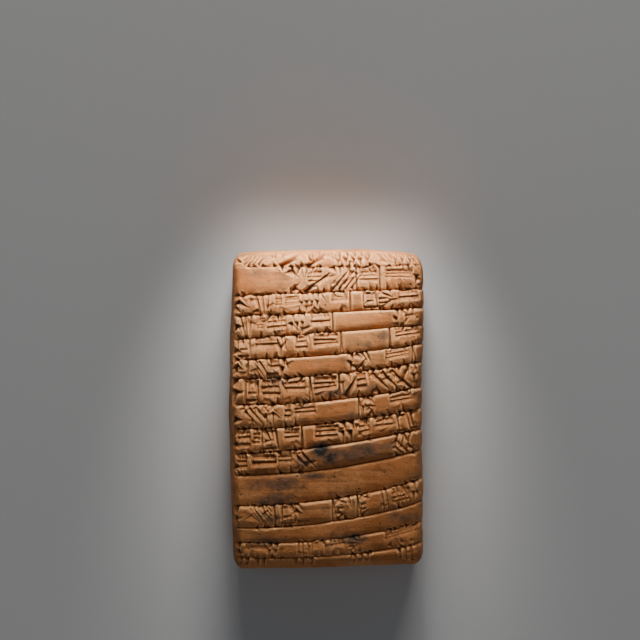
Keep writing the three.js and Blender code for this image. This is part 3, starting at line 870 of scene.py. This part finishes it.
    def sink_pits(self, pits: tuple[Pit, ...]) -> None:
        """Sink small round pits into the face."""
        x, y, _z = self.points.T
        for pit in pits:
            away = np.hypot(x - pit.x, y - pit.y) / pit.radius
            hole = 0.9 * pit.radius * np.clip(1 - away ** 2, 0, 1) * (self.normals[:, 2] > 0.05)
            self.cut = np.maximum(self.cut, hole)

    def height(self) -> Array:
        """Join the layers and add the unevenness of hand-worked clay.

        Returns:
            How far each point is moved along its normal, in millimetres.
        """
        under = smooth(-0.2, -0.9, self.normals[:, 2])
        rough = 0.22 * value_noise(self.points, 11, 1) + 0.09 * value_noise(self.points, 3.1, 2)
        rough += 0.035 * value_noise(self.points, 1.1, 3) + 0.018 * value_noise(self.points, 0.55, 4)
        flat = smooth(0.05, 0.6, self.points[:, 2])
        pressed = self.pillow - self.cut - self.broad
        relief = np.maximum(pressed, np.minimum(self.pillow, self.DEEPEST))
        return relief + rough * (1 - under * (1 - flat)) - 0.12 * under


def neighbour_mean(values: Array, edges: Array, rounds: int) -> Array:
    """Spread values over a mesh by averaging along its edges.

    Args:
        values: one value for each vertex.
        edges: the (n, 2) vertex numbers of the edges.
        rounds: how many times to average.

    Returns:
        The spread values.
    """
    count = len(values)
    share = np.bincount(edges.ravel(), minlength=count)
    for _ in range(rounds):
        total = np.bincount(edges[:, 0], values[edges[:, 1]], count)
        total += np.bincount(edges[:, 1], values[edges[:, 0]], count)
        values = 0.5 * values + 0.5 * total / share
    return values


@dataclass
class Tablet:
    """The whole tablet: the lump, its relief, and what the clay's finish reads from both."""

    triangles: int = 190_000
    near_rounds: int = 10
    wide_rounds: int = 90
    # How far a point stands over its near mean for full wear and painted highlight on ridges, and lies
    # under its wide mean for full painted shade in hollows.
    wear_and_highlight_full: float = 0.12
    hollow_full: float = 0.9

    def build(self) -> bpy.types.Object:
        """Model the tablet and thin its mesh.

        Returns:
            The tablet, standing on zero in the solid's own place.
        """
        mesh = Lump().mesh()
        points = column(mesh.vertices, "co", 3)
        normals = column(mesh.vertex_normals, "vector", 3)
        relief = Relief(points, normals)
        relief.swell_rows(FACE_ROWS)
        relief.rule_rows(Side.UNDERSIDE, UNDERSIDE_ROWS)
        sides = (
            (Side.FACE, FACE_ROWS), (Side.UNDERSIDE, UNDERSIDE_ROWS), (Side.RIGHT, RIGHT_ROWS),
            (Side.LEFT, LEFT_ROWS), (Side.HEAD, HEAD_ROWS), (Side.FOOT, FOOT_ROWS),
        )
        for number, (side, rows) in enumerate(sides):
            pressed = relief.press(side, rows, HAND_START + SIDE_SEEDS * number)
            log.info("%s: %d strokes", side.name.lower(), pressed)
        relief.sink_pits(PITS)
        height = relief.height()
        moved = (points + normals * height[:, None]) * MM
        moved[:, 2] -= moved[:, 2].min()
        mesh.vertices.foreach_set("co", moved.ravel())
        self.note_finish_masks(mesh, relief, height)
        mesh.update()
        return self.thin(mesh)

    def note_finish_masks(self, mesh: bpy.types.Mesh, relief: Relief, height: Array) -> None:
        """Store what the finish reads: ridges, painted paler as rubbed wear and painted highlight;
        creases and hollows, painted darker as soiling and painted shade; and stains.

        Args:
            mesh: the mesh that stores them.
            relief: where its points lay on the bare lump.
            height: how far each was moved.
        """
        edges = column(mesh.edges, "vertices", 2, np.int64)
        near = neighbour_mean(height, edges, self.near_rounds)
        wide = neighbour_mean(near, edges, self.wide_rounds)
        x, y, _z = relief.points.T
        stain = np.zeros(len(x))
        for patch in STAINS:
            away = ((x - patch.x) / patch.reach_x) ** 2 + ((y - patch.y) / patch.reach_y) ** 2
            stain = np.maximum(stain, patch.strength * np.exp(-away))
        stain *= relief.normals[:, 2] > 0
        # Ridges over their near mean get wear and painted highlight, and points under it get painted
        # shade as creases; hollow is the depth under the wide mean, for soiling and painted shade.
        for name, values in (
            ("wear_and_highlight", (height - near) / self.wear_and_highlight_full),
            ("hollow", (wide - height) / self.hollow_full),
            ("stain", stain),
        ):
            layer = mesh.attributes.new(name, "FLOAT", "POINT")
            layer.data.foreach_set("value", np.clip(values, -1, 1).astype(np.float32))

    def thin(self, mesh: bpy.types.Mesh) -> bpy.types.Object:
        """Put a thinned copy in the mesh's place, with as many triangles as a piece may have."""
        tablet = bpy.data.objects.new("clay_tablet_relief", mesh)
        bpy.context.scene.collection.objects.link(tablet)
        thinning = tablet.modifiers.new("thinning", "DECIMATE")
        thinning.ratio = self.triangles / (2 * len(mesh.polygons))
        thinning.use_collapse_triangulate = True
        graph = bpy.context.evaluated_depsgraph_get()
        thinned = bpy.data.meshes.new_from_object(tablet.evaluated_get(graph))
        tablet.modifiers.clear()
        tablet.data = thinned
        bpy.data.meshes.remove(mesh)
        for face in thinned.polygons:
            face.use_smooth = True
        thinned.name = "clay_tablet_relief"
        log.info("clay_tablet_relief: %d triangles", len(thinned.polygons))
        return tablet


class Wiring:
    """Adds and joins the nodes of one material. A value given to it may be a link or a number."""

    def __init__(self, tree: bpy.types.NodeTree) -> None:
        """Work on one node tree."""
        self.tree = tree

    def feed(self, socket: Socket, value: object) -> None:
        """Link a socket, or set its value."""
        if isinstance(value, Socket):
            self.tree.links.new(value, socket)
        else:
            socket.default_value = value

    def add(self, kind: str, **values: object) -> bpy.types.Node:
        """Add a node.

        Args:
            kind: the node's type.
            values: its properties, and the values or links of its inputs, by name.

        Returns:
            The node.
        """
        node = self.tree.nodes.new(kind)
        for name, value in values.items():
            if hasattr(node, name):
                setattr(node, name, value)
            else:
                self.feed(node.inputs[name], value)
        return node

    def mix(self, factor: object, a: object, b: object) -> Socket:
        """Blend colour a into colour b by a factor, and return the result's socket."""
        node = self.add("ShaderNodeMix", data_type="RGBA")
        for number, value in ((0, factor), (6, a), (7, b)):
            self.feed(node.inputs[number], value)
        return node.outputs[2]

    def math(self, operation: str, a: object, b: object) -> Socket:
        """Combine two numbers and return the result's socket."""
        node = self.add("ShaderNodeMath", operation=operation)
        self.feed(node.inputs[0], a)
        self.feed(node.inputs[1], b)
        return node.outputs[0]

    def ramp(
        self, value: object, low: float, high: float, to_low: float = 0.0, to_high: float = 1.0
    ) -> Socket:
        """Map a value smoothly onto another range.

        Args:
            value: the value.
            low: where it starts to change; it may be above high.
            high: where it has changed.
            to_low: what low becomes.
            to_high: what high becomes.

        Returns:
            The result's socket.
        """
        node = self.add("ShaderNodeMapRange", interpolation_type="SMOOTHSTEP")
        for socket, number in zip(node.inputs, (value, low, high, to_low, to_high)):
            self.feed(socket, number)
        return node.outputs[0]

    def noise(
        self, where: Socket, scale: float, detail: float, rough: float = 0.5
    ) -> Socket:
        """Add noise and return its value's socket."""
        return self.add(
            "ShaderNodeTexNoise", Vector=where, Scale=scale, Detail=detail, Roughness=rough
        ).outputs["Fac"]


@dataclass(frozen=True)
class BakedClay:
    """Unglazed baked clay: warm and mottled, with ridges painted paler as rubbed wear and painted
    highlight, and hollows and creases painted darker as soiling and painted shade.
    """

    body: Colour = (0.48, 0.168, 0.046, 1)
    pale: Colour = (0.57, 0.235, 0.078, 1)
    ruddy: Colour = (0.37, 0.105, 0.026, 1)
    # Pale rubbed tone for specks and streaks; on ridges it is also a painted highlight.
    wear_and_highlight: Colour = (0.72, 0.38, 0.165, 1)
    # Dark brown for pores, and for hollows and creases, where it is soiling and painted shade.
    soil_and_shade: Colour = (0.10, 0.035, 0.012, 1)
    haze: Colour = (0.145, 0.082, 0.05, 1)
    smoke: Colour = (0.03, 0.024, 0.02, 1)
    grime: Colour = (0.17, 0.085, 0.036, 1)
    roughness: float = 0.82

    def material(self) -> bpy.types.Material:
        """Build the clay's material, layer by layer from the body colour out."""
        material = bpy.data.materials.new("baked_clay")
        material.use_nodes = True
        tree = material.node_tree
        shader = tree.nodes["Principled BSDF"]
        wire = Wiring(tree)
        where = wire.add("ShaderNodeTexCoord").outputs["Object"]
        wear_and_highlight, hollow, stain = (
            wire.add("ShaderNodeAttribute", attribute_name=name).outputs["Fac"]
            for name in ("wear_and_highlight", "hollow", "stain")
        )

        broad = wire.noise(where, 55, 4, 0.55)
        patchy = wire.noise(where, 240, 5, 0.6)
        speckle = wire.noise(where, 1500, 3, 0.7)
        colour = wire.mix(wire.ramp(broad, 0.38, 0.66), self.body, self.pale)
        colour = wire.mix(wire.ramp(patchy, 0.52, 0.75, 0, 0.55), colour, self.ruddy)
        colour = wire.mix(wire.ramp(speckle, 0.58, 0.72, 0, 0.4), colour, self.wear_and_highlight)
        colour = wire.mix(wire.ramp(speckle, 0.44, 0.3, 0, 0.4), colour, self.ruddy)
        grime = wire.ramp(wire.noise(where, 130, 6, 0.7), 0.46, 0.68)
        grime = wire.math("MULTIPLY", grime, wire.ramp(patchy, 0.3, 0.6))
        colour = wire.mix(wire.math("MULTIPLY", grime, 0.7), colour, self.grime)
        # Ridges painted paler: rubbed wear and a painted highlight.
        edge = wire.math("MULTIPLY", wire.ramp(wear_and_highlight, 0.1, 0.9), wire.ramp(patchy, 0.25, 0.6, 0.45, 0.95))
        colour = wire.mix(edge, colour, self.wear_and_highlight)
        # Creases and hollows painted darker: soiling and painted shade.
        crease = wire.math("MULTIPLY", wire.ramp(wear_and_highlight, -0.15, -0.9), wire.ramp(hollow, 0.0, 0.5))
        dirt_and_shade = wire.math("MAXIMUM", wire.ramp(hollow, 0.55, 1.1, 0, 0.85), crease)
        dirt_and_shade = wire.math("MULTIPLY", dirt_and_shade, wire.ramp(patchy, 0.2, 0.65, 0.6, 0.9))
        colour = wire.mix(dirt_and_shade, colour, self.soil_and_shade)

        smear = wire.add("ShaderNodeMapping", Vector=where, Scale=(60, 900, 900)).outputs[0]
        streak = wire.noise(smear, 1, 3)
        colour = wire.mix(wire.ramp(streak, 0.5, 0.72, 0, 0.3), colour, self.grime)
        colour = wire.mix(wire.ramp(streak, 0.46, 0.3, 0, 0.22), colour, self.wear_and_highlight)

        cloud = wire.math("SUBTRACT", wire.noise(where, 330, 6, 0.65), 0.5)
        ragged = wire.math("ADD", stain, wire.math("MULTIPLY", cloud, 1.5))
        haze = wire.math("MULTIPLY", wire.ramp(ragged, -0.05, 0.5), wire.ramp(stain, 0.03, 0.3, 0, 0.8))
        colour = wire.mix(haze, colour, self.haze)
        smoke = wire.math("MULTIPLY", wire.ramp(ragged, 0.45, 0.85), wire.ramp(stain, 0.3, 0.6))
        colour = wire.mix(smoke, colour, self.smoke)

        pore_cells = wire.add("ShaderNodeTexVoronoi", Vector=where, Scale=620.0).outputs["Distance"]
        pore_keep = wire.ramp(wire.noise(where, 260, 3), 0.53, 0.62)
        pore = wire.math("MULTIPLY", wire.ramp(pore_cells, 0.24, 0.1), pore_keep)
        colour = wire.mix(wire.math("MULTIPLY", pore, 0.8), colour, self.soil_and_shade)
        tree.links.new(colour, shader.inputs["Base Color"])

        rough = wire.ramp(patchy, 0.3, 0.7, self.roughness - 0.08, self.roughness + 0.1)
        tree.links.new(rough, shader.inputs["Roughness"])
        shader.inputs["Specular IOR Level"].default_value = 0.3

        height = wire.math("ADD", wire.math("MULTIPLY", speckle, 0.5), wire.math("MULTIPLY", patchy, 1.2))
        height = wire.math("ADD", height, wire.math("MULTIPLY", streak, 0.55))
        height = wire.math("SUBTRACT", height, wire.math("MULTIPLY", pore, 1.2))
        bump = wire.add("ShaderNodeBump", Strength=0.75, Distance=0.00025, Height=height)
        tree.links.new(bump.outputs[0], shader.inputs["Normal"])
        return material


@dataclass(frozen=True)
class Studio:
    """The plain pale floor, the lights and the camera, in metres."""

    view_width: float = 0.2019
    lens: float = 100.0
    sensor_width: float = 36.0
    look_at: tuple[float, float, float] = (-0.0019, 0.0279, 0.0105)
    floor_reach: float = 3.0
    floor_colour: Colour = (0.62, 0.63, 0.64, 1)
    air_colour: Colour = (0.9, 0.94, 1.0, 1)
    air_strength: float = 0.05

    def floor(self) -> None:
        """Lay the floor."""
        bm = bmesh.new()
        bmesh.ops.create_grid(bm, x_segments=1, y_segments=1, size=self.floor_reach)
        mesh = bpy.data.meshes.new("floor")
        bm.to_mesh(mesh)
        bm.free()
        floor = bpy.data.objects.new("floor", mesh)
        bpy.context.scene.collection.objects.link(floor)
        material = bpy.data.materials.new("pale_floor")
        material.use_nodes = True
        shader = material.node_tree.nodes["Principled BSDF"]
        shader.inputs["Base Color"].default_value = self.floor_colour
        shader.inputs["Roughness"].default_value = 0.9
        mesh.materials.append(material)

    def light(
        self,
        name: str,
        place: Vector,
        aim: Vector,
        size: tuple[float, float],
        power: float,
        colour: tuple[float, float, float],
        spread: float = 180,
    ) -> None:
        """Hang an area light and aim it.

        Args:
            name: what it is called.
            place: where it hangs.
            aim: the point that it lights.
            size: its two sides.
            power: its power in watts.
            colour: its colour.
            spread: how wide its light fans out, in degrees.
        """
        lamp = bpy.data.lights.new(name, "AREA")
        lamp.shape = "RECTANGLE"
        lamp.size, lamp.size_y = size
        lamp.energy = power
        lamp.color = colour
        lamp.spread = math.radians(spread)
        holder = bpy.data.objects.new(name, lamp)
        holder.location = place
        holder.rotation_euler = (aim - place).to_track_quat("-Z", "Y").to_euler()
        holder.visible_camera = False
        bpy.context.scene.collection.objects.link(holder)

    def build(self) -> None:
        """Set the floor, the lights, the air and the camera."""
        self.floor()
        aim = Vector((0, 0, 0.02))
        warm, cool = (1.0, 0.96, 0.91), (0.95, 0.97, 1.0)
        near = Vector((0.0, 0.115, 0.057))
        self.light("key", Vector((0.12, 1.2, 0.6)), aim, (0.6, 0.25), 8.6, warm)
        self.light("near", near, Vector((0, 0.043, 0.022)), (0.06, 0.02), 0.03, warm, 42)
        self.light("fill", Vector((-0.3, 0.1, 0.9)), aim, (0.6, 0.6), 0.3, cool)
        self.light("front", Vector((0.2, -0.6, 0.28)), aim, (0.5, 0.4), 0.45, cool)
        world = bpy.data.worlds.new("studio_air")
        world.use_nodes = True
        air = world.node_tree.nodes["Background"]
        air.inputs["Color"].default_value = self.air_colour
        air.inputs["Strength"].default_value = self.air_strength
        bpy.context.scene.world = world
        camera = bpy.data.cameras.new("camera")
        camera.lens = self.lens
        camera.sensor_width = self.sensor_width
        camera.clip_start = 0.01
        holder = bpy.data.objects.new("camera", camera)
        distance = self.view_width * self.lens / camera.sensor_width
        holder.location = Vector(self.look_at) + Vector((0, 0, distance))
        bpy.context.scene.collection.objects.link(holder)
        bpy.context.scene.camera = holder


def main() -> None:
    """Build the tablet, dress it, and set the studio around it."""
    tablet = Tablet().build()
    tablet.data.materials.clear()
    tablet.data.materials.append(BakedClay().material())
    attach(tablet, "root")
    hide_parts("clay_tablet")
    Studio().build()
    log.info("studio: floor, lights and camera")


if __name__ == "__main__":
    main()
